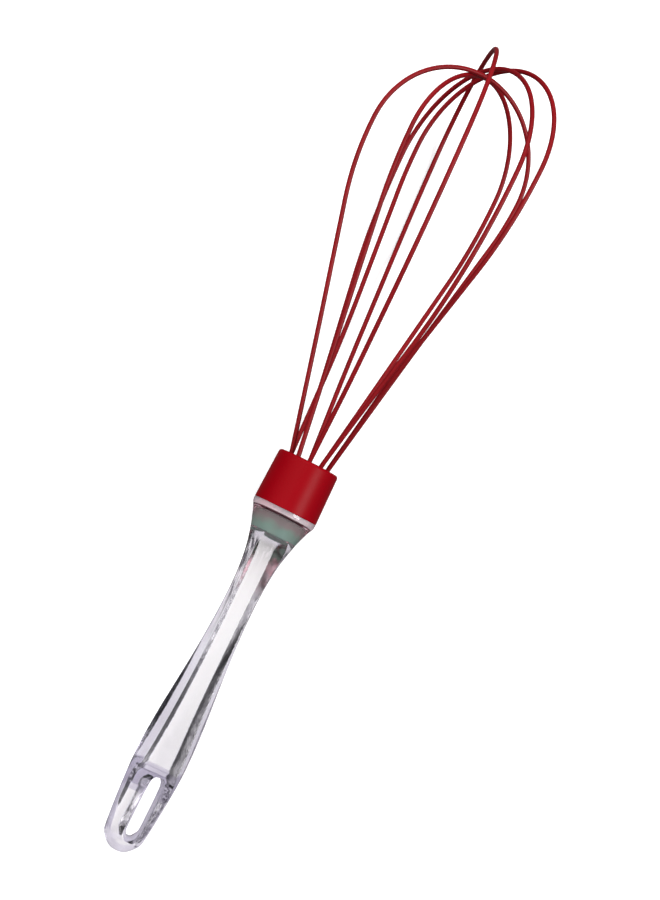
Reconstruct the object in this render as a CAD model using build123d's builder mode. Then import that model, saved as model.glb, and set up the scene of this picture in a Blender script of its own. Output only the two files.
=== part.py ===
from build123d import *
from math import atan2, cos, radians, sin
import os

# Balloon whisk, in millimetres, lying at rest on a flat surface: the balloon's lowest strand and the back
# of the handle's end touch Z = 0. The head points to +Y, the handle to -Y, and +X is the width of the grip.
# Along the whisk's own axis, heights are measured from the mouth of the collar, positive to the head.

# Collar: a tapered cap with a straight cavity
collar_top_radius = 11.7
collar_base_radius = 12.2
collar_height = 19.2
collar_edge_round = 1.2
cavity_radius = 9.9
seat_radius = 9.2
seat_depth = 4.2
seat_height = 1.0

# Wire: a spring-steel core in a silicone coating
core_radius = 0.55
coating_radius = 0.87
coating_gap = 0.02
hole_circle_radius = 7.6
core_end_depth = 16.0
coating_end_depth = 12.0
entry_bend_radius = 7.0
entry_height = 0.4
blend_share = 0.45
blend_reach = 0.42

# Each loop: direction of its hole and of its belly (degrees from +X, up over the top), sideways lean of
# its plane (degrees), shift of its middle, height of its belly, radius of its crown and of its sides
cage_turn = 12
loops = [
    {"hole": 18, "belly": 51, "lean": -0.4, "shift": 9.0, "height": 125.3, "crown": 34.5, "side": 129},
    {"hole": 54, "belly": 57.7, "lean": -1.5, "shift": 3.8, "height": 120.5, "crown": 37.7, "side": 190},
    {"hole": 90, "belly": 84.8, "lean": -2.7, "shift": 4.7, "height": 125.4, "crown": 37.3, "side": 180},
    {"hole": 126, "belly": 126.4, "lean": -1.4, "shift": -2.3, "height": 121.3, "crown": 33.0, "side": 143},
    {"hole": 162, "belly": 153.7, "lean": 1.5, "shift": 6.0, "height": 119.2, "crown": 33.5, "side": 104},
]

# Inside the collar, from the mouth down
guide_depth = 1.2
guide_thickness = 2.9
guide_radius = 9.85
hole_clearance = 0.05
potting_top_depth = 5.3
potting_bottom_depth = 14.0
end_plate_thickness = 1.2
plug_top_depth = 16.4
plug_flange_radius = 9.8
plug_spigot_radius = 7.0
plug_spigot_length = 10.0
plug_lead_in = 0.8
glue_radius = 9.6
glue_depth = 2.0
recess_depth = 2.5

# Handle: each row gives a depth below the rim and the eight-sided section there, as half its width, half
# its thickness, half its front face, the side corner's height towards the front and towards the back, half
# its back face, and how far the back face and the front face are shifted to +X
handle_length = 135.3
handle_sections = [
    (-0.6, 12.5, 12.5, 5.2, 5.2, 5.2, 5.2, 0, 0),
    (5.4, 10.5, 10.4, 4.6, 3.9, 3.9, 4.5, 0, 0),
    (11.5, 8.3, 7.7, 5.6, 2.4, 1.6, 3.1, 0.2, 0),
    (20.5, 6.45, 5.7, 5.2, 1.5, 0.5, 2.9, 0.5, 0),
    (34, 5.65, 4.8, 4.6, 1.2, 0, 2.9, 0.7, 0),
    (51, 6.2, 5.2, 4.7, 1.2, 0, 2.8, 0.9, 0),
    (68, 7.5, 5.9, 5.0, 1.2, 0, 2.9, 1.0, 0),
    (84, 9.0, 6.6, 5.8, 1.3, 0, 3.3, 1.0, 0),
    (99, 9.65, 6.9, 6.9, 1.5, 0.1, 4.2, 0.8, 0),
    (113, 8.95, 6.8, 7.4, 1.8, 0.4, 4.4, 0.3, -1.3),
    (125, 7.75, 6.5, 6.2, 2.4, 1.2, 4.4, 0, -1.4),
    (137, 6.2, 6.0, 4.7, 2.6, 1.8, 3.6, 0, -1.1),
]
section_steps = 28
flare_profile = [(-0.6, 12.2), (1.6, 12.05), (5.4, 10.5), (11.5, 8.6), (20.5, 7.6)]
tip_dome_start = 121.3
tip_dome_radius = 9.2
scoop_start = 102.3
scoop_bottom = 106.8
scoop_end = 112.0
scoop_top = 6.95
tab_taper = 0.5
# On each face: the height of the scoop's floor, of its far end and of the tab just beyond it
front_heights = (4.7, 6.0, 6.3)
back_heights = (5.1, 5.0, 4.6)
# The hanging slot is waisted: at three heights above the axis, its start and end depth, lowest and highest X
slot_levels = [
    (7.0, 104.5, 130.4, -2.0, 4.8),
    (0.8, 105.6, 128.2, 0.5, 5.0),
    (-7.0, 104.7, 129.6, -4.5, 5.3),
]

# How the whisk lies: where its two contacts are along its axis, and how far from the axis
belly_contact_height = 106.3
belly_contact_reach = 32.85
tab_contact_depth = 133.8
tab_contact_reach = 4.13
contact_distance = belly_contact_height + collar_height + tab_contact_depth
rest_tilt = atan2(belly_contact_reach - tab_contact_reach, contact_distance)
along = Vector(0, cos(rest_tilt), sin(rest_tilt))
mouth_height = belly_contact_reach * cos(rest_tilt) - belly_contact_height * sin(rest_tilt)
mouth = Vector(5.05, -4.31, mouth_height)
whisk = Plane(origin=mouth, x_dir=(1, 0, 0), z_dir=along)
handle_rim = whisk.offset(-collar_height)
side_view = Plane(origin=handle_rim.origin, x_dir=-whisk.z_dir, z_dir=whisk.x_dir)
top_view = Plane(origin=handle_rim.origin, x_dir=-whisk.z_dir, z_dir=-whisk.y_dir)

os.makedirs("parts", exist_ok=True)


def around(azimuth, radius, height):
    """Point beside the axis: azimuth in degrees from +X, up over the top."""
    turn = radians(azimuth + cage_turn)
    return whisk.from_local_coords(Vector(radius * cos(turn), -radius * sin(turn), height))


def tilted(direction, lean, across, height):
    """Point in a loop's own plane, which holds the belly direction and leans sideways."""
    turn = radians(direction + cage_turn)
    toward = Vector(cos(turn), -sin(turn), 0)
    sideways = Vector(sin(turn), cos(turn), 0)
    upward = Vector(0, 0, cos(radians(lean))) + sideways * sin(radians(lean))
    return whisk.from_local_coords(toward * across + upward * height)


def side_arc(loop, sign):
    """Start, middle and end of the big arc on one side, from the straight leg up to the belly."""
    centre = sign * loop["shift"] + loop["crown"] - loop["side"]
    reach = ((hole_circle_radius - centre) ** 2 + loop["height"] ** 2) ** 0.5
    start = atan2(-loop["height"], hole_circle_radius - centre)
    start += atan2((reach**2 - loop["side"] ** 2) ** 0.5, loop["side"])
    points = []
    for angle in (start, start / 2, 0):
        across = sign * (centre + loop["side"] * cos(angle))
        height = loop["height"] + loop["side"] * sin(angle)
        points.append(tilted(loop["belly"], loop["lean"], across, height))
    return points


def leg_corners(loop, sign, end_depth):
    """Corners of one leg: inner end, mouth of its hole, blend corner, start of the big arc."""
    mouth_point = around(loop["hole"], sign * hole_circle_radius, entry_height)
    inner_end = around(loop["hole"], sign * hole_circle_radius, -end_depth)
    arc_start = side_arc(loop, sign)[0]
    flat_foot = tilted(loop["belly"], loop["lean"], sign * hole_circle_radius, 0)
    blend = flat_foot + (arc_start - flat_foot) * blend_share
    return [inner_end, mouth_point, blend, arc_start]


def rounded_leg(corners):
    """Straight runs with a tangent arc at each of the two inner corners."""
    inner_end, mouth_point, blend, arc_start = corners
    entry_turn = radians((mouth_point - inner_end).get_angle(blend - mouth_point))
    entry_reach = entry_bend_radius * (1 - cos(entry_turn)) / sin(entry_turn)
    reaches = (entry_reach, blend_reach * min((blend - mouth_point).length, (arc_start - blend).length))
    last = inner_end
    for before, corner, after, reach in (
        (inner_end, mouth_point, blend, reaches[0]),
        (mouth_point, blend, arc_start, reaches[1]),
    ):
        arriving = (before - corner).normalized()
        leaving = (after - corner).normalized()
        quarter_turn = radians(180 - arriving.get_angle(leaving)) / 4
        middle = corner + (arriving + leaving).normalized() * reach * sin(quarter_turn) / cos(quarter_turn)
        Line(last, corner + arriving * reach)
        ThreePointArc(corner + arriving * reach, middle, corner + leaving * reach)
        last = corner + leaving * reach
    Line(last, arc_start)


def loop_wire(loop, end_depth, outer_radius, inner_radius=0):
    """One whole loop: leg, side arc, crown, side arc and leg, swept with a round section."""
    crown_top = tilted(loop["belly"], loop["lean"], loop["shift"], loop["height"] + loop["crown"])
    with BuildPart() as wire:
        with BuildLine() as path:
            rounded_leg(leg_corners(loop, 1, end_depth))
            ThreePointArc(*side_arc(loop, 1))
            ThreePointArc(*side_arc(loop, -1))
            ThreePointArc(side_arc(loop, 1)[2], crown_top, side_arc(loop, -1)[2])
            rounded_leg(leg_corners(loop, -1, end_depth))
        inner_end = around(loop["hole"], hole_circle_radius, -end_depth)
        foot = Plane(origin=inner_end, x_dir=whisk.x_dir, z_dir=whisk.z_dir)
        with BuildSketch(foot):
            Circle(outer_radius)
        sweep(path=path.wire())
        if inner_radius:
            with BuildSketch(foot):
                Circle(inner_radius)
            sweep(path=path.wire(), mode=Mode.SUBTRACT)
    return wire


def handle_section(depth):
    """Sizes of the handle's section at any depth, on a smooth curve through the table's rows."""
    row = max(index for index in range(len(handle_sections) - 1) if handle_sections[index][0] <= depth)
    start, end = handle_sections[row], handle_sections[row + 1]
    before, after = handle_sections[max(row - 1, 0)], handle_sections[min(row + 2, len(handle_sections) - 1)]
    span = end[0] - start[0]
    share = (depth - start[0]) / span
    sizes = []
    for column in range(1, len(start)):
        rise_in = span * (end[column] - before[column]) / (end[0] - before[0])
        rise_out = span * (after[column] - start[column]) / (after[0] - start[0])
        sizes.append(
            start[column] * (1 + 2 * share) * (1 - share) ** 2
            + rise_in * share * (1 - share) ** 2
            + end[column] * (3 - 2 * share) * share**2
            + rise_out * (share - 1) * share**2
        )
    return sizes


def section_corners(depth):
    """Corners of the handle's section, in a plane across the axis whose Y points to the back."""
    half_width, half_thickness, *face_sizes = handle_section(depth)
    front_face, front_edge, back_edge, back_face, back_shift, front_shift = face_sizes
    return [
        (half_width, back_edge),
        (back_shift + back_face, half_thickness),
        (back_shift - back_face, half_thickness),
        (-half_width, back_edge),
        (-half_width, -front_edge),
        (front_shift - front_face, -half_thickness),
        (front_shift + front_face, -half_thickness),
        (half_width, -front_edge),
    ]


def strand_points():
    """Where the ten strands cross a level of the collar, in the level's own plane."""
    places = []
    for loop in loops:
        for sign in (1, -1):
            point = whisk.to_local_coords(around(loop["hole"], sign * hole_circle_radius, 0))
            places.append((point.X, point.Y))
    return places


for number, loop in enumerate(loops, start=1):
    wire_core = loop_wire(loop, core_end_depth, core_radius)
    wire_core.part.label = f"wire_core_{number}"
    export_step(wire_core.part, f"parts/wire_core_{number}.step")

    wire_sleeve = loop_wire(loop, coating_end_depth, coating_radius, core_radius + coating_gap)
    wire_sleeve.part.label = f"wire_sleeve_{number}"
    export_step(wire_sleeve.part, f"parts/wire_sleeve_{number}.step")

with BuildPart() as collar:
    with BuildSketch(whisk.offset(-collar_height)):
        Circle(collar_base_radius)
    with BuildSketch(whisk):
        Circle(collar_top_radius)
    loft()
    fillet(collar.faces().sort_by(Axis(mouth, along))[-1].edges(), collar_edge_round)
    with BuildSketch(whisk.offset(-collar_height)):
        Circle(cavity_radius)
    extrude(amount=collar_height, mode=Mode.SUBTRACT)
    with BuildSketch(whisk.offset(-seat_depth - seat_height)):
        Circle(cavity_radius)
        Circle(seat_radius, mode=Mode.SUBTRACT)
    extrude(amount=seat_height)
collar.part.label = "collar"
export_step(collar.part, "parts/collar.step")

with BuildPart() as wire_guide:
    with BuildSketch(whisk.offset(-guide_depth - guide_thickness)):
        Circle(guide_radius)
        with Locations(*strand_points()):
            Circle(coating_radius + hole_clearance, mode=Mode.SUBTRACT)
    extrude(amount=guide_thickness)
wire_guide.part.label = "wire_guide"
export_step(wire_guide.part, "parts/wire_guide.step")

with BuildPart() as potting:
    with BuildSketch(whisk.offset(-potting_bottom_depth)):
        Circle(guide_radius)
        with Locations(*strand_points()):
            Circle(coating_radius + coating_gap, mode=Mode.SUBTRACT)
    extrude(amount=potting_bottom_depth - potting_top_depth)
potting.part.label = "potting"
export_step(potting.part, "parts/potting.step")

with BuildPart() as end_plate:
    with BuildSketch(whisk.offset(-potting_bottom_depth - end_plate_thickness)):
        Circle(guide_radius)
        with Locations(*strand_points()):
            Circle(core_radius + coating_gap, mode=Mode.SUBTRACT)
    extrude(amount=end_plate_thickness)
end_plate.part.label = "end_plate"
export_step(end_plate.part, "parts/end_plate.step")

with BuildPart() as plug:
    with BuildSketch(handle_rim):
        Circle(plug_flange_radius)
    extrude(amount=collar_height - plug_top_depth)
    with BuildSketch(handle_rim):
        Circle(plug_spigot_radius)
    extrude(amount=-plug_spigot_length)
    chamfer(plug.faces().sort_by(Axis(mouth, along))[0].edges(), plug_lead_in)
plug.part.label = "plug"
export_step(plug.part, "parts/plug.step")

with BuildPart() as socket_glue:
    with BuildSketch(handle_rim):
        Circle(glue_radius)
        Circle(plug_spigot_radius, mode=Mode.SUBTRACT)
    extrude(amount=-glue_depth)
socket_glue.part.label = "socket_glue"
export_step(socket_glue.part, "parts/socket_glue.step")

with BuildPart() as handle:
    first_depth, last_depth = handle_sections[0][0], handle_sections[-1][0]
    for step in range(section_steps + 1):
        depth = first_depth + (last_depth - first_depth) * step / section_steps
        with BuildSketch(handle_rim.offset(-depth)):
            Polygon(*section_corners(depth))
    loft()
    # Flat rim and round flare under the collar
    split(bisect_by=handle_rim, keep=Keep.BOTTOM)
    with BuildSketch(top_view):
        with BuildLine():
            Spline(flare_profile)
            Polyline(
                flare_profile[-1],
                (flare_profile[-1][0], 2 * collar_base_radius),
                (flare_profile[0][0], 2 * collar_base_radius),
                flare_profile[0],
            )
        make_face()
    revolve(axis=Axis(handle_rim.origin, -along), mode=Mode.SUBTRACT)
    # Domed butt end
    with BuildSketch(top_view):
        with BuildLine():
            dome_height = handle_length - tip_dome_start
            EllipticalCenterArc((tip_dome_start, 0), dome_height, tip_dome_radius, arc_size=90)
            Polyline(
                (tip_dome_start, tip_dome_radius),
                (tip_dome_start, collar_base_radius),
                (handle_length + tip_dome_radius, collar_base_radius),
                (handle_length + tip_dome_radius, 0),
                (handle_length, 0),
            )
        make_face()
    revolve(axis=Axis(handle_rim.origin, -along), mode=Mode.SUBTRACT)
    # Scooped step to the thinner hanging end, on the back and on the front
    for side, (floor, ledge, tab) in ((1, back_heights), (-1, front_heights)):
        with BuildSketch(side_view):
            with BuildLine():
                Bezier(
                    (scoop_start, side * scoop_top),
                    ((scoop_start + scoop_bottom) / 2, side * floor),
                    (scoop_bottom, side * floor),
                )
                Bezier(
                    (scoop_bottom, side * floor),
                    ((scoop_bottom + scoop_end) / 2, side * floor),
                    (scoop_end, side * ledge),
                )
                Polyline(
                    (scoop_end, side * ledge),
                    (scoop_end, side * tab),
                    (handle_length, side * (tab - tab_taper)),
                    (handle_length, side * collar_base_radius),
                    (scoop_start, side * collar_base_radius),
                    (scoop_start, side * scoop_top),
                )
            make_face()
        extrude(amount=collar_base_radius, both=True, mode=Mode.SUBTRACT)
    # Hanging slot
    for height, start, end, lowest, highest in slot_levels:
        with BuildSketch(top_view.offset(height)):
            with Locations(((start + end) / 2, (lowest + highest) / 2)):
                SlotOverall(end - start, highest - lowest)
    loft(ruled=True, mode=Mode.SUBTRACT)
    # Socket for the plug, with a shallow recess for the glue around it
    with BuildSketch(handle_rim):
        Circle(plug_spigot_radius)
    extrude(amount=-plug_spigot_length, mode=Mode.SUBTRACT)
    with BuildSketch(handle_rim):
        Circle(glue_radius)
    extrude(amount=-recess_depth, mode=Mode.SUBTRACT)
handle.part.label = "handle"
export_step(handle.part, "parts/handle.step")
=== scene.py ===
"""Balloon whisk: the looks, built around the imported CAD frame."""

from math import acos, atan2, cos, hypot, inf, pi, radians, sin, sqrt, tan

import bmesh
import bpy
from mathutils import Matrix, Vector


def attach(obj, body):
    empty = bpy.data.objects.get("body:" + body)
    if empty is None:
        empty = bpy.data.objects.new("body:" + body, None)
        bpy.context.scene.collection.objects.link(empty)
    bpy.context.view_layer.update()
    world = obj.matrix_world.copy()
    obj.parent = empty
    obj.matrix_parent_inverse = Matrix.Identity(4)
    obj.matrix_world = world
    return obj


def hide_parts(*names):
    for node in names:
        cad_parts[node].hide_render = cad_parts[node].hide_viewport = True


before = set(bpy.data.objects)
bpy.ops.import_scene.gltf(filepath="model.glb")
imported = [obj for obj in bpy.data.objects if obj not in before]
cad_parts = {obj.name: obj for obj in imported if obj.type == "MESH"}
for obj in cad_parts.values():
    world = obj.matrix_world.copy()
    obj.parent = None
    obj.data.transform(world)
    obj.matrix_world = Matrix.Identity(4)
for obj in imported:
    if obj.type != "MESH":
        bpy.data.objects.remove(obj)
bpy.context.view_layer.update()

# Lengths are in metres unless a comment says millimetres; angles are in degrees
MM = 0.001

# ---------------------------------------------------------------------------------------------------------
# The whisk's own axis. Heights run from the mouth of the collar, positive towards the head.
# ---------------------------------------------------------------------------------------------------------
COLLAR_HEIGHT = 19.2 * MM
BELLY_HEIGHT, BELLY_REACH = 106.3 * MM, 32.85 * MM
TAB_DEPTH, TAB_REACH = 133.8 * MM, 4.13 * MM
REST_TILT = atan2(BELLY_REACH - TAB_REACH, BELLY_HEIGHT + COLLAR_HEIGHT + TAB_DEPTH)
MOUTH_HEIGHT = BELLY_REACH * cos(REST_TILT) - BELLY_HEIGHT * sin(REST_TILT)
MOUTH = Vector((5.05 * MM, -4.31 * MM, MOUTH_HEIGHT))
ALONG = Vector((0, cos(REST_TILT), sin(REST_TILT)))
ACROSS = Vector((1, 0, 0))
UPWARD = ACROSS.cross(ALONG)
CAGE_TURN = 12

# Wire loops, as in the CAD model: lengths in millimetres, angles in degrees
LOOPS = [
    {"hole": 18, "belly": 51, "lean": -0.4, "shift": 9.0, "height": 125.3, "crown": 34.5, "side": 129},
    {"hole": 54, "belly": 57.7, "lean": -1.5, "shift": 3.8, "height": 120.5, "crown": 37.7, "side": 190},
    {"hole": 90, "belly": 84.8, "lean": -2.7, "shift": 4.7, "height": 125.4, "crown": 37.3, "side": 180},
    {"hole": 126, "belly": 126.4, "lean": -1.4, "shift": -2.3, "height": 121.3, "crown": 33.0, "side": 143},
    {"hole": 162, "belly": 153.7, "lean": 1.5, "shift": 6.0, "height": 119.2, "crown": 33.5, "side": 104},
]
HOLE_CIRCLE = 7.6
ENTRY_HEIGHT = 0.4
ENTRY_BEND = 7.0
COATING_END = 12.0
COATING_RADIUS = 0.87 * MM
COATING_BORE = 0.57 * MM
BLEND_SHARE = 0.45
BLEND_REACH = 0.42
RING_SPACING = 0.9 * MM
ENTRY_STEPS, BLEND_STEPS, SIDE_STEPS, CROWN_STEPS = 8, 16, 60, 90


def on_axis(height, across=0.0, upward=0.0):
    """World point from a place beside the whisk's axis."""
    return MOUTH + ALONG * height + ACROSS * across + UPWARD * upward


# ---------------------------------------------------------------------------------------------------------
# Meshes
# ---------------------------------------------------------------------------------------------------------
def mesh_object(name, vertices, faces, smooth=True):
    mesh = bpy.data.meshes.new(name)
    mesh.from_pydata([tuple(vertex) for vertex in vertices], [], faces)
    mesh.validate()
    piece = bpy.data.objects.new(name, mesh)
    bpy.context.scene.collection.objects.link(piece)
    edit = bmesh.new()
    edit.from_mesh(mesh)
    bmesh.ops.recalc_face_normals(edit, faces=edit.faces)
    edit.to_mesh(mesh)
    edit.free()
    for face in mesh.polygons:
        face.use_smooth = smooth
    return piece


def place(piece, slot, material, *nodes):
    """Rides a piece on the one body, hides the CAD nodes it stands in for, and gives it its material."""
    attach(piece, "root")
    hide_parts(*nodes)
    piece.data.materials.append(material)


def bridge(first, second):
    """Quads between two closed rings of the same length, given as lists of vertex numbers."""
    count = len(first)
    return [
        (first[turn], first[(turn + 1) % count], second[(turn + 1) % count], second[turn])
        for turn in range(count)
    ]


def lathe(name, outline, base_height, segments=144):
    """Solid of revolution about the whisk's axis from a closed outline of (radius, height) points."""
    vertices, rings = [], []
    for radius, height in outline:
        ring = []
        for step in range(segments):
            turn = 2 * pi * step / segments
            ring.append(len(vertices))
            vertices.append(on_axis(base_height + height, radius * cos(turn), radius * sin(turn)))
        rings.append(ring)
    faces = []
    for number, ring in enumerate(rings):
        faces += bridge(ring, rings[(number + 1) % len(rings)])
    return mesh_object(name, vertices, faces)


def rounded_outline(corners, steps=6):
    """Closed outline of points (radius, height) whose corners, given with a rounding each, become arcs."""
    outline = []
    count = len(corners)
    for number, (radius, height, rounding) in enumerate(corners):
        here = Vector((radius, height))
        before = Vector(corners[number - 1][:2]) - here
        after = Vector(corners[(number + 1) % count][:2]) - here
        if rounding == 0:
            outline.append((here.x, here.y))
            continue
        reach = rounding / tan(before.angle(after) / 2)
        start = here + before.normalized() * reach
        end = here + after.normalized() * reach
        for step in range(steps + 1):
            share = step / steps
            point = start * (1 - share) ** 2 + here * (2 * share * (1 - share)) + end * share**2
            outline.append((point.x, point.y))
    return outline


# ---------------------------------------------------------------------------------------------------------
# Wire loops
# ---------------------------------------------------------------------------------------------------------
def around(azimuth, radius, height):
    """World point beside the axis, in millimetres: azimuth from +X, up over the top."""
    turn = radians(azimuth + CAGE_TURN)
    return on_axis(height * MM, radius * cos(turn) * MM, radius * sin(turn) * MM)


def in_loop_plane(loop, across, height):
    """World point in the loop's own plane, which holds its belly and leans sideways."""
    turn = radians(loop["belly"] + CAGE_TURN)
    lean = radians(loop["lean"])
    toward = ACROSS * cos(turn) + UPWARD * sin(turn)
    sideways = ACROSS * sin(turn) - UPWARD * cos(turn)
    upward = ALONG * cos(lean) + sideways * sin(lean)
    return MOUTH + (toward * across + upward * height) * MM


def side_arc_points(loop, sign, steps):
    """The big arc on one side of a loop, from its straight leg up to its belly."""
    centre = sign * loop["shift"] + loop["crown"] - loop["side"]
    reach = hypot(HOLE_CIRCLE - centre, loop["height"])
    start = atan2(-loop["height"], HOLE_CIRCLE - centre) + acos(loop["side"] / reach)
    points = []
    for step in range(steps + 1):
        angle = start * (1 - step / steps)
        across = sign * (centre + loop["side"] * cos(angle))
        points.append(in_loop_plane(loop, across, loop["height"] + loop["side"] * sin(angle)))
    return points


def rounded_corner(before, corner, after, reach, steps):
    """A curve in place of a corner, starting and ending a fixed reach from it."""
    start = corner + (before - corner).normalized() * reach
    end = corner + (after - corner).normalized() * reach
    points = []
    for step in range(steps + 1):
        share = step / steps
        points.append(start * (1 - share) ** 2 + corner * (2 * share * (1 - share)) + end * share**2)
    return points


def leg_points(loop, sign):
    """From the coating's end in the collar, out of its hole and up to the start of the side arc."""
    inner_end = around(loop["hole"], sign * HOLE_CIRCLE, -COATING_END)
    mouth = around(loop["hole"], sign * HOLE_CIRCLE, ENTRY_HEIGHT)
    arc_start = side_arc_points(loop, sign, 1)[0]
    flat_foot = in_loop_plane(loop, sign * HOLE_CIRCLE, 0)
    blend = flat_foot.lerp(arc_start, BLEND_SHARE)
    entry_turn = (mouth - inner_end).angle(blend - mouth)
    entry_reach = ENTRY_BEND * MM * tan(entry_turn / 2)
    blend_reach = BLEND_REACH * min((blend - mouth).length, (arc_start - blend).length)
    points = [inner_end]
    points += rounded_corner(inner_end, mouth, blend, entry_reach, ENTRY_STEPS)
    points += rounded_corner(mouth, blend, arc_start, blend_reach, BLEND_STEPS)
    return points


def loop_points(loop):
    """Centre line of a whole loop, from one inner end to the other."""
    right = leg_points(loop, 1) + side_arc_points(loop, 1, SIDE_STEPS)
    left = leg_points(loop, -1) + side_arc_points(loop, -1, SIDE_STEPS)
    crown = []
    for step in range(1, CROWN_STEPS):
        angle = pi * step / CROWN_STEPS
        across = loop["shift"] + loop["crown"] * cos(angle)
        crown.append(in_loop_plane(loop, across, loop["height"] + loop["crown"] * sin(angle)))
    return right + crown + left[::-1]


def evenly_spaced(points, spacing):
    """The same line with its points a fixed distance apart."""
    lengths = [0.0]
    for first, second in zip(points, points[1:]):
        lengths.append(lengths[-1] + (second - first).length)
    count = round(lengths[-1] / spacing)
    spaced, index = [], 0
    for step in range(count + 1):
        target = lengths[-1] * step / count
        while index < len(points) - 2 and lengths[index + 1] < target:
            index += 1
        span = lengths[index + 1] - lengths[index]
        share = (target - lengths[index]) / span if span else 0.0
        spaced.append(points[index].lerp(points[index + 1], share))
    return spaced


def tube(name, centres, outer_radius, inner_radius, segments=28):
    """Hollow tube along a line, with its wall closed at both ends."""
    tangents = []
    for index in range(len(centres)):
        before = centres[max(index - 1, 0)]
        after = centres[min(index + 1, len(centres) - 1)]
        tangents.append((after - before).normalized())
    normal = tangents[0].orthogonal().normalized()
    vertices, outer, inner = [], [], []
    for centre, tangent in zip(centres, tangents):
        normal = (normal - tangent * normal.dot(tangent)).normalized()
        other = tangent.cross(normal)
        for radius, rings in ((outer_radius, outer), (inner_radius, inner)):
            ring = []
            for step in range(segments):
                turn = 2 * pi * step / segments
                ring.append(len(vertices))
                vertices.append(centre + (normal * cos(turn) + other * sin(turn)) * radius)
            rings.append(ring)
    faces = []
    for rings in (outer, inner):
        for first, second in zip(rings, rings[1:]):
            faces += bridge(first, second)
    faces += bridge(outer[0], inner[0]) + bridge(outer[-1], inner[-1])
    return mesh_object(name, vertices, faces)


def make_wires(coating):
    for number, loop in enumerate(LOOPS, start=1):
        centres = evenly_spaced(loop_points(loop), RING_SPACING)
        sleeve = tube(f"silicone_loop_{number}", centres, COATING_RADIUS, COATING_BORE)
        place(sleeve, "silicone_red", coating, f"wire_sleeve_{number}")


# ---------------------------------------------------------------------------------------------------------
# Collar and plug
# ---------------------------------------------------------------------------------------------------------
# Outline corners are (radius, height, rounding)
COLLAR_TOP_RADIUS = 11.7 * MM
COLLAR_BASE_RADIUS = 12.2 * MM
CAVITY_RADIUS = 9.9 * MM
SEAT_RADIUS = 9.2 * MM
SEAT_TOP = -4.2 * MM
SEAT_BOTTOM = -5.2 * MM


def make_collar(material):
    outline = rounded_outline(
        [
            (CAVITY_RADIUS, -COLLAR_HEIGHT, 0.25 * MM),
            (COLLAR_BASE_RADIUS, -COLLAR_HEIGHT, 0.35 * MM),
            (COLLAR_TOP_RADIUS, 0, 1.2 * MM),
            (CAVITY_RADIUS, 0, 0.5 * MM),
            (CAVITY_RADIUS, SEAT_TOP, 0),
            (SEAT_RADIUS, SEAT_TOP, 0.1 * MM),
            (SEAT_RADIUS, SEAT_BOTTOM, 0.1 * MM),
            (CAVITY_RADIUS, SEAT_BOTTOM, 0),
        ]
    )
    collar = lathe("red_collar", outline, 0.0)
    place(collar, "collar_red", material, "collar")


# The glue's bore is a little tight on the plug, so that the clear handle shows no air gap between them
GLUE_BORE, GLUE_RADIUS, GLUE_DEPTH = 6.95 * MM, 9.6 * MM, 2.0 * MM
GLUE_GAP = 0.02 * MM
PLUG_CENTRE_RADIUS = 0.01 * MM
PLUG_SPIGOT_RADIUS = 7.0 * MM
PLUG_FLANGE_RADIUS = 9.8 * MM
PLUG_TOP = -16.4 * MM
PLUG_SPIGOT_LENGTH = 10.0 * MM


def make_plug(material):
    end = -COLLAR_HEIGHT - PLUG_SPIGOT_LENGTH
    outline = rounded_outline(
        [
            (PLUG_CENTRE_RADIUS, end, 0),
            (PLUG_SPIGOT_RADIUS, end, 0.9 * MM),
            (PLUG_SPIGOT_RADIUS, -COLLAR_HEIGHT, 0),
            (PLUG_FLANGE_RADIUS, -COLLAR_HEIGHT, 0.15 * MM),
            (PLUG_FLANGE_RADIUS, PLUG_TOP, 0.3 * MM),
            (PLUG_CENTRE_RADIUS, PLUG_TOP, 0),
        ]
    )
    plug = lathe("holder_plug", outline, 0.0, segments=96)
    place(plug, "plug_green", material, "plug")


def make_glue(material):
    outline = rounded_outline(
        [
            (GLUE_BORE, -GLUE_DEPTH, 0),
            (GLUE_RADIUS, -GLUE_DEPTH, 0.3 * MM),
            (GLUE_RADIUS, 0, 0.1 * MM),
            (GLUE_BORE, 0, 0),
        ]
    )
    glue = lathe("glue_ring", outline, -COLLAR_HEIGHT - GLUE_GAP)
    place(glue, "glue_clear", material, "socket_glue")


# ---------------------------------------------------------------------------------------------------------
# Handle: a control cage of 24-point rings, smoothed by subdivision, with semi-sharp edges
# ---------------------------------------------------------------------------------------------------------
HANDLE_LENGTH = 135.3
# In millimetres: depth below the rim, half width, half thickness, half front face, side corner's height
# towards the front and towards the back, half back face, the back face's and the front face's shift to +X
HANDLE_SECTIONS = [
    (-0.6, 12.5, 12.5, 5.2, 5.2, 5.2, 5.2, 0, 0),
    (5.4, 10.5, 10.4, 4.6, 3.9, 3.9, 4.5, 0, 0),
    (11.5, 8.3, 7.7, 5.6, 2.4, 1.6, 3.1, 0.2, 0),
    (20.5, 6.45, 5.7, 5.2, 1.5, 0.5, 2.9, 0.5, 0),
    (34, 5.65, 4.8, 4.6, 1.2, 0, 2.9, 0.7, 0),
    (51, 6.2, 5.2, 4.7, 1.2, 0, 2.8, 0.9, 0),
    (68, 7.5, 5.9, 5.0, 1.2, 0, 2.9, 1.0, 0),
    (84, 9.0, 6.6, 5.8, 1.3, 0, 3.3, 1.0, 0),
    (99, 9.65, 6.9, 6.9, 1.5, 0.1, 4.2, 0.8, 0),
    (113, 8.95, 6.8, 7.4, 1.8, 0.4, 4.4, 0.3, -1.3),
    (125, 7.75, 6.5, 6.2, 2.4, 1.2, 4.4, 0, -1.4),
    (137, 6.2, 6.0, 4.7, 2.6, 1.8, 3.6, 0, -1.1),
]
RIM_RADIUS, RIM_DEPTH = 12.2, 2
DOME_START, DOME_RADIUS = 121.3, 9.2
SCOOP_START, SCOOP_BOTTOM, SCOOP_END = 102.3, 106.8, 112.0
SCOOP_TOP, TAB_TAPER = 6.95, 0.5
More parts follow.
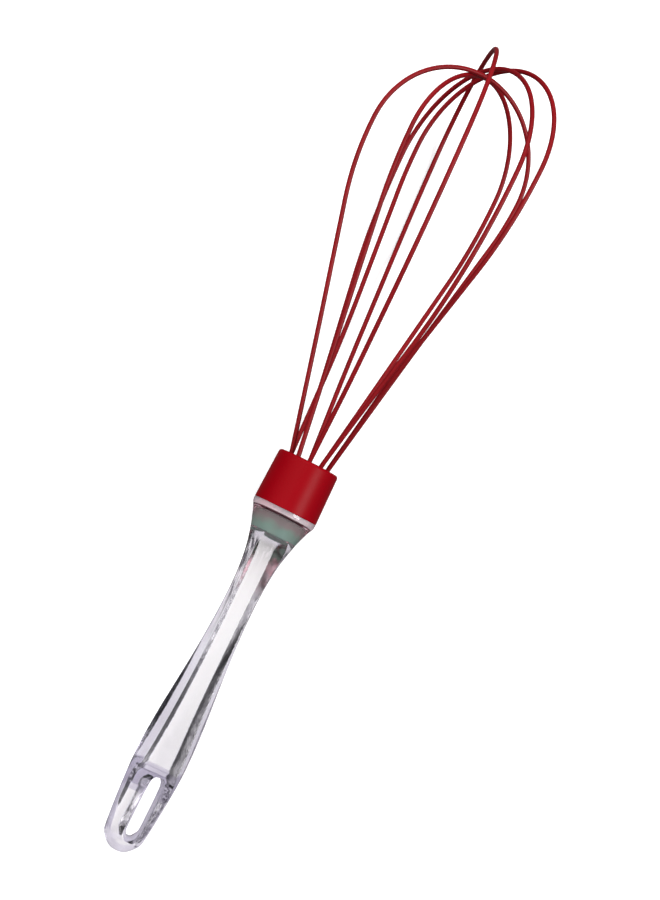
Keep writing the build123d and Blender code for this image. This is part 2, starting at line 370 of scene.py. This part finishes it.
# On each face: the height of the scoop's floor, of its far end and of the tab just beyond it
FRONT_HEIGHTS, BACK_HEIGHTS = (4.7, 6.0, 6.3), (5.1, 5.0, 4.6)
# The hanging slot is waisted: at three heights above the axis, its start, end, lowest and highest X. Its
# ends are rounded, but never narrower than a share of its width
SLOT_LEVELS = [
    (7.0, 104.5, 130.4, -2.0, 4.8),
    (0.8, 105.6, 128.2, 0.5, 5.0),
    (-7.0, 104.7, 129.6, -4.5, 5.3),
]
SLOT_END_SHARE = 0.55
FIRST_SLOT_ROW, LAST_SLOT_ROW = 104.6, 130.2
SOCKET_RADIUS, SOCKET_DEPTH = 6.9, 9.9
RECESS_RADIUS, RECESS_DEPTH = 9.55, 2.5
# The round flare blends into the eight-sided grip over this fade
FLARE_END, FLARE_FADE = 14.0, 9.0
# Smoothing draws the rings inwards; these make up for it
RIM_SWELL, FLARE_SWELL, SOCKET_SWELL = 0.08, 0.04, 1.011

RING_POINTS = 24
FIRST_TURN, TURN_STEP = -22.5, 15
# Numbers of the ring's points at the slot's two long sides, higher X first, and spans of the two faces
SLOT_FRONT, SLOT_BACK = (7, 8), (20, 19)
FACE_SPANS = ((6, 7), (7, 8), (8, 9), (18, 19), (19, 20), (20, 21))
CORNER_SPACING = 3
CAGE_DEPTHS = [
    0, 0.5, 1.8, 3.6, 6, 9, 12.5, 16.5, 21, 27, 34, 42, 50, 58, 66, 74, 82, 90, 96, 100,
    102.3, 103.4, 104.6, 105.5, 106.6, 108.2, 110.2, 111.9, 112.3, 114.5, 118, 122,
    126, 127.6, 128.8, 129.6, 130.2, 131.8, 133.2, 134.3, 135.0,
]


# Sharpness of the cage's edges, from 0 to 1; the long edges fade in below the flare and out at the butt end
LONG_EDGE_CREASE, SLOT_CREASE, RIM_CREASE, STEP_CREASE, SOCKET_CREASE = 0.66, 0.7, 0.6, 0.9, 0.7
LONG_EDGES_START, LONG_EDGES_FADE_IN = 5, 9
LONG_EDGES_END, LONG_EDGES_FADE_OUT = 134.0, 8.0
SCOOP_CREASES = ((102.3, 0.8), (111.9, 0.7), (112.3, 0.7))
SMOOTHING_LEVELS = 4


def ring_turn(number):
    """Direction of a ring's point, in radians from +X over the top."""
    return radians(FIRST_TURN + TURN_STEP * number)


def handle_section(depth):
    """Sizes of the handle's section at any depth, on a smooth curve through the table's rows."""
    row = max(index for index in range(len(HANDLE_SECTIONS) - 1) if HANDLE_SECTIONS[index][0] <= depth)
    start, end = HANDLE_SECTIONS[row], HANDLE_SECTIONS[row + 1]
    before = HANDLE_SECTIONS[max(row - 1, 0)]
    after = HANDLE_SECTIONS[min(row + 2, len(HANDLE_SECTIONS) - 1)]
    span = end[0] - start[0]
    share = (depth - start[0]) / span
    sizes = []
    for column in range(1, len(start)):
        rise_in = span * (end[column] - before[column]) / (end[0] - before[0])
        rise_out = span * (after[column] - start[column]) / (after[0] - start[0])
        sizes.append(
            start[column] * (1 + 2 * share) * (1 - share) ** 2
            + rise_in * share * (1 - share) ** 2
            + end[column] * (3 - 2 * share) * share**2
            + rise_out * (share - 1) * share**2
        )
    return sizes


def face_height(depth, heights):
    """Height allowed on one face by the scoop and then by the tab; none above the scoop."""
    floor, ledge, tab = heights
    if depth <= SCOOP_START:
        return inf
    if depth <= SCOOP_BOTTOM:
        return floor + (SCOOP_TOP - floor) * ((SCOOP_BOTTOM - depth) / (SCOOP_BOTTOM - SCOOP_START)) ** 2
    if depth <= SCOOP_END:
        return floor + (ledge - floor) * ((depth - SCOOP_BOTTOM) / (SCOOP_END - SCOOP_BOTTOM)) ** 2
    return tab - TAB_TAPER * (depth - SCOOP_END) / (HANDLE_LENGTH - SCOOP_END)


def slot_sides(row_depth, height):
    """Where the slot's two long sides are on one row of the cage: lowest X, highest X and own depth."""
    waist_height = SLOT_LEVELS[1][0]
    outer = SLOT_LEVELS[0] if height > waist_height else SLOT_LEVELS[2]
    share = (height - waist_height) / (outer[0] - waist_height)
    sizes = [at_waist + (at_outer - at_waist) * share for at_waist, at_outer in zip(SLOT_LEVELS[1], outer)]
    start, end, lowest, highest = sizes[1:]
    depth = start + (end - start) * (row_depth - FIRST_SLOT_ROW) / (LAST_SLOT_ROW - FIRST_SLOT_ROW)
    half = (highest - lowest) / 2
    from_end = min(depth - start, end - depth, half)
    half_here = max(SLOT_END_SHARE * half, sqrt(half**2 - (half - from_end) ** 2))
    middle = (lowest + highest) / 2
    return middle - half_here, middle + half_here, depth


def cage_ring(depth):
    """Twenty-four (across, upward) points around the handle, from the +X side over the top face."""
    half_width, half_thickness, *face_sizes = handle_section(depth)
    front_face, front_edge, back_edge, back_face, back_shift, front_shift = face_sizes
    front_height = min(half_thickness, face_height(depth, FRONT_HEIGHTS))
    back_height = min(half_thickness, face_height(depth, BACK_HEIGHTS))
    # Where a face is cut lower than the section's, its corners slide down the flanks
    front_share = (front_height - front_edge) / (half_thickness - front_edge)
    back_share = (back_height - back_edge) / (half_thickness - back_edge)
    front_face = half_width + (front_face - half_width) * front_share
    back_face = half_width + (back_face - half_width) * back_share
    front_shift *= front_share
    back_shift *= back_share
    corners = [
        (half_width, -back_edge),
        (half_width, front_edge),
        (front_shift + front_face, front_height),
        (front_shift - front_face, front_height),
        (-half_width, front_edge),
        (-half_width, -back_edge),
        (back_shift - back_face, -back_height),
        (back_shift + back_face, -back_height),
    ]
    points = []
    for number, corner in enumerate(corners):
        first, second = Vector(corner), Vector(corners[(number + 1) % len(corners)])
        points += [first, first.lerp(second, 1 / 3), first.lerp(second, 2 / 3)]
    roundness = min(1.0, max(0.0, (FLARE_END - depth) / FLARE_FADE))
    roundness = roundness**2 * (3 - 2 * roundness)
    if roundness > 0:
        radius = RIM_RADIUS + RIM_SWELL if depth < RIM_DEPTH else half_width + FLARE_SWELL
        for number, point in enumerate(points):
            turn = ring_turn(number)
            points[number] = point.lerp(Vector((radius * cos(turn), radius * sin(turn))), roundness)
    if depth > DOME_START:
        share = min(1.0, (depth - DOME_START) / (HANDLE_LENGTH - DOME_START))
        reach = DOME_RADIUS * sqrt(1 - share**2)
        for point in points:
            if point.length > reach:
                point *= reach / point.length
    points = [(point.x, point.y, depth) for point in points]
    if FIRST_SLOT_ROW <= depth <= LAST_SLOT_ROW:
        for higher_x, lower_x in (SLOT_FRONT, SLOT_BACK):
            height = points[higher_x][1]
            lowest, highest, own_depth = slot_sides(depth, height)
            points[higher_x] = (highest, height, own_depth)
            points[lower_x] = (lowest, height, own_depth)
    return points


def make_handle(material):
    vertices, rings = [], []
    for depth in CAGE_DEPTHS:
        ring = []
        for across, upward, point_depth in cage_ring(depth):
            ring.append(len(vertices))
            vertices.append(on_axis(-COLLAR_HEIGHT - point_depth * MM, across * MM, upward * MM))
        rings.append(ring)
    socket_rings = []
    socket_profile = [
        (0, RECESS_RADIUS),
        (0.3, RECESS_RADIUS),
        (RECESS_DEPTH - 0.2, RECESS_RADIUS),
        (RECESS_DEPTH, RECESS_RADIUS),
        (RECESS_DEPTH, SOCKET_RADIUS),
        (RECESS_DEPTH + 0.4, SOCKET_RADIUS),
        (SOCKET_DEPTH - 0.5, SOCKET_RADIUS),
        (SOCKET_DEPTH, SOCKET_RADIUS),
    ]
    for depth, radius in socket_profile:
        ring = []
        for number in range(RING_POINTS):
            turn = ring_turn(number)
            ring.append(len(vertices))
            reach = radius * SOCKET_SWELL * MM
            vertices.append(on_axis(-COLLAR_HEIGHT - depth * MM, reach * cos(turn), reach * sin(turn)))
        socket_rings.append(ring)
    first_cut = CAGE_DEPTHS.index(FIRST_SLOT_ROW)
    last_cut = CAGE_DEPTHS.index(LAST_SLOT_ROW)
    slot_spans = (SLOT_FRONT[0], SLOT_BACK[1])
    faces = []
    for row, (upper, lower) in enumerate(zip(rings, rings[1:])):
        for span, face in enumerate(bridge(upper, lower)):
            if first_cut <= row < last_cut and span in slot_spans:
                continue
            faces.append(face)
    # Inner wall of the slot, from the front face in to the waist and out to the back face
    waist = []
    for row in range(first_cut, last_cut + 1):
        lowest, highest, own_depth = slot_sides(CAGE_DEPTHS[row], SLOT_LEVELS[1][0])
        waist.append((len(vertices), len(vertices) + 1))
        for across in (highest, lowest):
            vertices.append(on_axis(-COLLAR_HEIGHT - own_depth * MM, across * MM, SLOT_LEVELS[1][0] * MM))
    cut_rings = rings[first_cut:last_cut + 1]
    for side, (front, back) in enumerate(zip(SLOT_FRONT, SLOT_BACK)):
        for row in range(len(waist) - 1):
            upper, lower = cut_rings[row], cut_rings[row + 1]
            upper_waist, lower_waist = waist[row][side], waist[row + 1][side]
            faces.append((upper[front], lower[front], lower_waist, upper_waist))
            faces.append((upper_waist, lower_waist, lower[back], upper[back]))
    for ring, (right, left) in ((cut_rings[0], waist[0]), (cut_rings[-1], waist[-1])):
        faces.append((ring[SLOT_FRONT[0]], ring[SLOT_FRONT[1]], left, right))
        faces.append((right, left, ring[SLOT_BACK[1]], ring[SLOT_BACK[0]]))
    faces += bridge(rings[0], socket_rings[0])
    for first, second in zip(socket_rings, socket_rings[1:]):
        faces += bridge(first, second)
    faces.append(tuple(socket_rings[-1]))
    faces.append(tuple(rings[-1]))
    handle = mesh_object("acrylic_handle", vertices, faces)
    sharpen(handle, rings, socket_rings, first_cut, last_cut)
    smooth = handle.modifiers.new("smooth", "SUBSURF")
    smooth.levels = smooth.render_levels = SMOOTHING_LEVELS
    smooth.boundary_smooth = "ALL"
    apply_modifiers(handle)
    place(handle, "clear_acrylic", material, "handle")


def sharpen(handle, rings, socket_rings, first_cut, last_cut):
    """Semi-sharp edges: the long edges of the grip, the rim, the socket, the scoop and the slot."""
    crease = handle.data.attributes.new("crease_edge", "FLOAT", "EDGE")
    wanted = {}

    def mark(first, second, value):
        wanted[frozenset((first, second))] = value

    for row, (upper, lower) in enumerate(zip(rings, rings[1:])):
        depth = CAGE_DEPTHS[row]
        strength = min(LONG_EDGE_CREASE, max(0.0, (depth - LONG_EDGES_START) / LONG_EDGES_FADE_IN))
        if depth > LONG_EDGES_END - LONG_EDGES_FADE_OUT:
            strength *= max(0.0, (LONG_EDGES_END - depth) / LONG_EDGES_FADE_OUT)
        for number in range(0, RING_POINTS, CORNER_SPACING):
            mark(upper[number], lower[number], strength)
        if first_cut <= row < last_cut:
            for number in SLOT_FRONT + SLOT_BACK:
                mark(upper[number], lower[number], SLOT_CREASE)
    for row in (first_cut, last_cut):
        for first, second in (SLOT_FRONT, SLOT_BACK):
            mark(rings[row][first], rings[row][second], SLOT_CREASE)
    for depth, strength in SCOOP_CREASES:
        ring = rings[CAGE_DEPTHS.index(depth)]
        for first, second in FACE_SPANS:
            mark(ring[first], ring[second], strength)
    sharp_rings = [
        (rings[0], RIM_CREASE),
        (socket_rings[0], RIM_CREASE),
        (socket_rings[3], STEP_CREASE),
        (socket_rings[4], STEP_CREASE),
        (socket_rings[-1], SOCKET_CREASE),
    ]
    for ring, strength in sharp_rings:
        for first, second in zip(ring, ring[1:] + ring[:1]):
            mark(first, second, strength)
    for edge in handle.data.edges:
        value = wanted.get(frozenset(edge.vertices))
        if value:
            crease.data[edge.index].value = value


def apply_modifiers(piece):
    """Puts the smoothed mesh in the cage's place."""
    depsgraph = bpy.context.evaluated_depsgraph_get()
    finished = bpy.data.meshes.new_from_object(piece.evaluated_get(depsgraph))
    piece.modifiers.clear()
    piece.data = finished


# ---------------------------------------------------------------------------------------------------------
# Materials
# ---------------------------------------------------------------------------------------------------------
class Look:
    """A node material with one Principled shader, fed by small helper nodes."""

    def __init__(self, name):
        self.material = bpy.data.materials.new(name)
        self.material.use_nodes = True
        self.nodes = self.material.node_tree.nodes
        self.links = self.material.node_tree.links
        self.shader = self.nodes["Principled BSDF"]
        self.place = self.nodes.new("ShaderNodeTexCoord").outputs["Object"]

    def set(self, **values):
        for name, value in values.items():
            self.shader.inputs[name.replace("_", " ")].default_value = value

    def noise(self, scale, detail=3.0, roughness=0.5, stretch=None):
        texture = self.nodes.new("ShaderNodeTexNoise")
        texture.inputs["Scale"].default_value = scale
        texture.inputs["Detail"].default_value = detail
        texture.inputs["Roughness"].default_value = roughness
        source = self.place
        if stretch:
            mapping = self.nodes.new("ShaderNodeMapping")
            mapping.inputs["Scale"].default_value = stretch
            self.links.new(self.place, mapping.inputs["Vector"])
            source = mapping.outputs["Vector"]
        self.links.new(source, texture.inputs["Vector"])
        return texture.outputs["Fac"]

    def ramp(self, factor, low, high, start=0.3, end=0.7):
        ramp = self.nodes.new("ShaderNodeValToRGB")
        ramp.color_ramp.elements[0].position = start
        ramp.color_ramp.elements[1].position = end
        ramp.color_ramp.elements[0].color = low
        ramp.color_ramp.elements[1].color = high
        self.links.new(factor, ramp.inputs["Fac"])
        return ramp.outputs["Color"]

    def between(self, factor, low, high):
        remap = self.nodes.new("ShaderNodeMapRange")
        remap.inputs["To Min"].default_value = low
        remap.inputs["To Max"].default_value = high
        self.links.new(factor, remap.inputs["Value"])
        return remap.outputs["Result"]

    def along_axis(self, start, end):
        """From 0 at one height on the whisk's axis to 1 at another."""
        height = self.nodes.new("ShaderNodeVectorMath")
        height.operation = "DOT_PRODUCT"
        self.links.new(self.place, height.inputs[0])
        height.inputs[1].default_value = ALONG
        remap = self.nodes.new("ShaderNodeMapRange")
        remap.inputs["From Min"].default_value = on_axis(start).dot(ALONG)
        remap.inputs["From Max"].default_value = on_axis(end).dot(ALONG)
        self.links.new(height.outputs["Value"], remap.inputs["Value"])
        return remap.outputs["Result"]

    def between_depths(self, first, last, first_fade, last_fade):
        """1 between two depths below the handle's rim, in millimetres, and fading to 0 outside them."""
        begins = self.along_axis(-COLLAR_HEIGHT - (first - first_fade) * MM, -COLLAR_HEIGHT - first * MM)
        ends = self.along_axis(-COLLAR_HEIGHT - (last + last_fade) * MM, -COLLAR_HEIGHT - last * MM)
        both = self.nodes.new("ShaderNodeMath")
        both.operation = "MULTIPLY"
        self.links.new(begins, both.inputs[0])
        self.links.new(ends, both.inputs[1])
        return both.outputs[0]

    def mix(self, factor, first, second):
        """Colour between an output and a fixed colour or another output."""
        mixer = self.nodes.new("ShaderNodeMix")
        mixer.data_type = "RGBA"
        self.links.new(factor, mixer.inputs["Factor"])
        self.links.new(first, mixer.inputs["A"])
        if isinstance(second, tuple):
            mixer.inputs["B"].default_value = second
        else:
            self.links.new(second, mixer.inputs["B"])
        return mixer.outputs["Result"]

    def let_lamps_through(self, tint):
        """Lamp light passes the clear piece with a tint, so that what lies behind it is lit."""
        path = self.nodes.new("ShaderNodeLightPath")
        clear = self.nodes.new("ShaderNodeBsdfTransparent")
        clear.inputs["Color"].default_value = tint
        mixer = self.nodes.new("ShaderNodeMixShader")
        self.links.new(path.outputs["Is Shadow Ray"], mixer.inputs[0])
        self.links.new(self.shader.outputs[0], mixer.inputs[1])
        self.links.new(clear.outputs[0], mixer.inputs[2])
        output = self.nodes["Material Output"]
        self.links.new(mixer.outputs[0], output.inputs["Surface"])

    def feed(self, socket, output):
        self.links.new(output, self.shader.inputs[socket])

    def bump(self, height, strength, distance, under=None):
        bump = self.nodes.new("ShaderNodeBump")
        bump.inputs["Strength"].default_value = strength
        bump.inputs["Distance"].default_value = distance
        self.links.new(height, bump.inputs["Height"])
        if under:
            self.links.new(under, bump.inputs["Normal"])
        return bump.outputs["Normal"]


def silicone_material():
    look = Look("red_silicone")
    look.set(Specular_IOR_Level=0.22)
    tone = look.noise(60, 2.0)
    look.feed("Base Color", look.ramp(tone, (0.225, 0.004, 0.007, 1), (0.275, 0.006, 0.010, 1)))
    look.feed("Roughness", look.between(look.noise(500, 3.0), 0.28, 0.38))
    skin = look.bump(look.noise(1800, 4.0, 0.6), 0.10, 0.00008)
    look.feed("Normal", look.bump(look.noise(160, 2.0), 0.12, 0.0002, skin))
    return look.material


def collar_material():
    look = Look("red_collar_plastic")
    look.set(Specular_IOR_Level=0.10)
    tone = look.noise(45, 2.0)
    look.feed("Base Color", look.ramp(tone, (0.285, 0.0, 0.0040, 1), (0.315, 0.0, 0.0055, 1)))
    look.feed("Roughness", look.between(look.noise(420, 3.0), 0.33, 0.41))
    skin = look.bump(look.noise(2600, 3.0, 0.6), 0.06, 0.00006)
    look.feed("Normal", look.bump(look.noise(90, 1.0), 0.05, 0.0003, skin))
    return look.material


def acrylic_material():
    look = Look("clear_acrylic")
    look.set(IOR=1.49, Transmission_Weight=1.0)
    # The flat faces are clear; the sloping flanks, picked out by their slope, get a darker lavender tint as
    # painted shade
    split = look.nodes.new("ShaderNodeSeparateXYZ")
    look.links.new(look.nodes.new("ShaderNodeTexCoord").outputs["Normal"], split.inputs["Vector"])
    steepness = look.nodes.new("ShaderNodeMath")
    steepness.operation = "ABSOLUTE"
    look.links.new(split.outputs["Z"], steepness.inputs[0])
    tone = look.ramp(look.noise(40, 3.0), (0.46, 0.43, 0.52, 1), (0.58, 0.55, 0.65, 1))
    # The round flare is turned clear; below it the flanks get long dark streaks, a painted reflection of
    # the collar's dark inside, placed by height along the axis
    streaks = look.noise(700, 4.0, 0.7, stretch=(1.0, 0.10, 1.0))
    painted_reflection_streaks = look.ramp(streaks, (0.02, 0.018, 0.024, 1), (0.60, 0.56, 0.64, 1), 0.48, 0.60)
    flank_painted_shade = look.mix(look.between_depths(14.0, 34.0, 2.0, 24.0), tone, painted_reflection_streaks)
    flat_face_mask = look.ramp(steepness.outputs[0], (0, 0, 0, 1), (1, 1, 1, 1), 0.88, 0.985)
    body = look.mix(flat_face_mask, flank_painted_shade, (0.745, 0.73, 0.74, 1))
    body = look.mix(look.between_depths(-1.0, 5.0, 0.5, 6.0), body, (0.80, 0.785, 0.80, 1))
    # The scoop gets a darker lavender tone, painted shade placed by depth along the axis
    scoop_painted_shade = look.ramp(look.noise(55, 3.0), (0.34, 0.31, 0.40, 1), (0.46, 0.43, 0.53, 1))
    body = look.mix(look.between_depths(SCOOP_START, SCOOP_END, 0.7, 0.5), body, scoop_painted_shade)
    # Light that has bounced about inside the grip, told by ray depth, gets painted shade: a dark, grainy
    # colour in place of the clear tint that light going straight through keeps; near the collar it gets a
    # painted reflection of the collar's red
    path = look.nodes.new("ShaderNodeLightPath")
    trapped = look.nodes.new("ShaderNodeMapRange")
    trapped.inputs["From Min"].default_value = 1.0
    trapped.inputs["From Max"].default_value = 2.0
    look.links.new(path.outputs["Ray Depth"], trapped.inputs["Value"])
    grain = look.noise(850, 5.0, 0.8, stretch=(1.0, 0.6, 1.0))
    painted_dark_grain = look.ramp(grain, (0.012, 0.010, 0.016, 1), (0.40, 0.38, 0.43, 1), 0.47, 0.57)
    painted_collar_red = look.ramp(look.noise(260, 3.0), (0.10, 0.06, 0.08, 1), (0.36, 0.06, 0.09, 1), 0.42, 0.6)
    # Painted collar red near the collar, painted dark grain further down the grip
    inner = look.mix(look.along_axis(-COLLAR_HEIGHT - 10 * MM, -COLLAR_HEIGHT - 32 * MM), painted_collar_red, painted_dark_grain)
    look.feed("Base Color", look.mix(trapped.outputs["Result"], body, inner))
    look.feed("Roughness", look.between(look.noise(240, 4.0), 0.0, 0.03))
    scratches = look.bump(look.noise(380, 5.0, 0.65, stretch=(1.0, 0.06, 1.0)), 0.06, 0.0001)
    look.feed("Normal", look.bump(look.noise(1100, 4.0, 0.6), 0.22, 0.0002, scratches))
    look.let_lamps_through((0.965, 0.96, 0.97, 1))
    return look.material


def moulded_material(name, dark, light, roughness):
    look = Look(name)
    look.feed("Base Color", look.ramp(look.noise(120, 3.0), dark, light))
    look.feed("Roughness", look.between(look.noise(700, 3.0), roughness - 0.06, roughness + 0.08))
    look.feed("Normal", look.bump(look.noise(1500, 4.0, 0.6), 0.15, 0.0001))
    return look.material


def plug_material():
    """Nylon that turns from grey near the collar to green at its end, with a mottled boundary."""
    look = Look("green_nylon")
    depth = look.along_axis(-COLLAR_HEIGHT - 4.0 * MM, -COLLAR_HEIGHT - 9.5 * MM)
    mottle = look.nodes.new("ShaderNodeMath")
    mottle.operation = "MULTIPLY_ADD"
    look.links.new(look.noise(300, 3.0), mottle.inputs[0])
    mottle.inputs[1].default_value = 0.9
    look.links.new(depth, mottle.inputs[2])
    grey, green = (0.33, 0.33, 0.315, 1), (0.26, 0.46, 0.365, 1)
    look.feed("Base Color", look.ramp(mottle.outputs[0], grey, green, 0.5, 1.3))
    look.feed("Roughness", look.between(look.noise(700, 3.0), 0.42, 0.58))
    look.feed("Normal", look.bump(look.noise(1500, 4.0, 0.6), 0.15, 0.0001))
    return look.material


def steel_material(name, stretch):
    look = Look(name)
    look.set(Metallic=1.0)
    streaks = look.noise(900, 4.0, 0.6, stretch=stretch)
    look.feed("Base Color", look.ramp(streaks, (0.42, 0.42, 0.43, 1), (0.62, 0.62, 0.63, 1)))
    look.feed("Roughness", look.between(streaks, 0.22, 0.42))
    look.feed("Normal", look.bump(streaks, 0.08, 0.00005))
    return look.material


def glue_material():
    look = Look("milky_glue")
    look.set(Specular_IOR_Level=0.4)
    swirl = look.noise(260, 5.0, 0.65)
    milk = look.ramp(swirl, (0.76, 0.75, 0.76, 1), (0.97, 0.96, 0.97, 1), 0.33, 0.55)
    # Painted shade: a dark line along the glue's lower edge, where the counterbore's bottom meets the plug
    painted_shade_line = look.along_axis(-COLLAR_HEIGHT - 1.45 * MM, -COLLAR_HEIGHT - 1.65 * MM)
    look.feed("Base Color", look.mix(painted_shade_line, milk, (0.06, 0.012, 0.02, 1)))
    look.feed("Roughness", look.between(look.noise(500, 3.0), 0.3, 0.5))
    look.feed("Normal", look.bump(look.noise(400, 3.0), 0.4, 0.0003))
    return look.material


def dress_cad_node(node, material):
    """A CAD node that stays as it is, with a finished material."""
    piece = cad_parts[node]
    if not piece.material_slots:
        piece.data.materials.append(material)
    for material_slot in piece.material_slots:
        material_slot.link = "OBJECT"
        material_slot.material = material


# ---------------------------------------------------------------------------------------------------------
# Floor, light and camera
# ---------------------------------------------------------------------------------------------------------
def make_floor():
    reach = 3.0
    vertices = [(-reach, -reach, 0), (reach, -reach, 0), (reach, reach, 0), (-reach, reach, 0)]
    floor = mesh_object("floor", vertices, [(0, 1, 2, 3)], smooth=False)
    look = Look("floor_paper")
    look.feed("Base Color", look.ramp(look.noise(8, 3.0), (0.95, 0.95, 0.95, 1), (0.965, 0.965, 0.965, 1)))
    look.feed("Roughness", look.between(look.noise(200, 2.0), 0.6, 0.8))
    look.set(Emission_Color=(1, 1, 1, 1), Emission_Strength=0.35)
    floor.data.materials.append(look.material)
    floor.visible_diffuse = False
    floor.visible_glossy = False


def sun(name, lean_across, lean_along, strength, spread, shines=True):
    """Soft light from far away, leaning from straight above to +X and to +Y; a fill doesn't shine."""
    light = bpy.data.lights.new(name, "SUN")
    light.energy = strength
    light.angle = radians(spread)
    lamp = bpy.data.objects.new(name, light)
    lamp.visible_glossy = shines
    source = Vector((tan(radians(lean_across)), tan(radians(lean_along)), 1))
    lamp.rotation_euler = (-source).to_track_quat("-Z", "Y").to_euler()
    bpy.context.scene.collection.objects.link(lamp)


def make_lights():
    world = bpy.data.worlds.new("studio")
    bpy.context.scene.world = world
    world.use_nodes = True
    nodes, links = world.node_tree.nodes, world.node_tree.links
    direction = nodes.new("ShaderNodeTexCoord")
    split = nodes.new("ShaderNodeSeparateXYZ")
    ramp = nodes.new("ShaderNodeValToRGB")
    ramp.color_ramp.elements[0].color = (0.10, 0.10, 0.105, 1)
    ramp.color_ramp.elements[1].color = (0.40, 0.40, 0.40, 1)
    links.new(direction.outputs["Generated"], split.inputs["Vector"])
    links.new(split.outputs["Z"], ramp.inputs["Fac"])
    links.new(ramp.outputs["Color"], nodes["Background"].inputs["Color"])
    # The backdrop itself looks white; it lights the whisk only softly
    backdrop = nodes.new("ShaderNodeBackground")
    backdrop.inputs["Color"].default_value = (1, 1, 1, 1)
    path = nodes.new("ShaderNodeLightPath")
    seen = nodes.new("ShaderNodeMixShader")
    links.new(path.outputs["Is Camera Ray"], seen.inputs[0])
    links.new(nodes["Background"].outputs[0], seen.inputs[1])
    links.new(backdrop.outputs[0], seen.inputs[2])
    links.new(seen.outputs[0], nodes["World Output"].inputs["Surface"])
    sun("left_light", -50, 5, 1.6, 75, shines=False)
    sun("right_light", 33, -5, 1.35, 26)
    sun("head_light", -12, 45, 1.5, 60, shines=False)


def make_camera():
    """Camera above the whisk, on the handle's side, turned so that the head points up and right."""
    view_tilt, view_turn, view_roll = 3.0, 12.0, 26.55
    distance = 720 * MM
    mouth_in_view = Vector((-7.5 * MM, -4.5 * MM, -distance))
    turn, roll, tilt = radians(view_turn), radians(view_roll), radians(view_tilt)
    seen_across = Vector((cos(roll), -sin(roll), 0))
    seen_along = Vector((sin(roll) * cos(tilt), cos(roll) * cos(tilt), -sin(tilt)))
    seen = Matrix((seen_across, seen_along, seen_across.cross(seen_along))).transposed()
    real_across = ACROSS * cos(turn) + UPWARD * sin(turn)
    real = Matrix((real_across, ALONG, real_across.cross(ALONG))).transposed()
    rotation = real @ seen.inverted()
    camera_data = bpy.data.cameras.new("camera")
    camera_data.sensor_fit = "VERTICAL"
    camera_data.sensor_height = 36
    camera_data.lens = 80
    camera = bpy.data.objects.new("camera", camera_data)
    camera.matrix_world = Matrix.Translation(MOUTH - rotation @ mouth_in_view) @ rotation.to_4x4()
    bpy.context.scene.collection.objects.link(camera)
    bpy.context.scene.camera = camera


make_camera()
make_floor()
make_lights()
bpy.context.scene.view_settings.view_transform = "Standard"

make_wires(silicone_material())
make_collar(collar_material())
make_plug(plug_material())
make_glue(glue_material())
make_handle(acrylic_material())

guide_plastic = moulded_material("guide_plastic", (0.26, 0.002, 0.008, 1), (0.33, 0.003, 0.012, 1), 0.45)
dress_cad_node("wire_guide", guide_plastic)
dress_cad_node("potting", moulded_material("epoxy", (0.25, 0.32, 0.26, 1), (0.33, 0.40, 0.33, 1), 0.35))
dress_cad_node("end_plate", steel_material("plate_steel", (1.0, 0.1, 1.0)))
spring_wire = steel_material("spring_wire", (1.0, 0.05, 1.0))
for number in range(1, 6):
    dress_cad_node(f"wire_core_{number}", spring_wire)
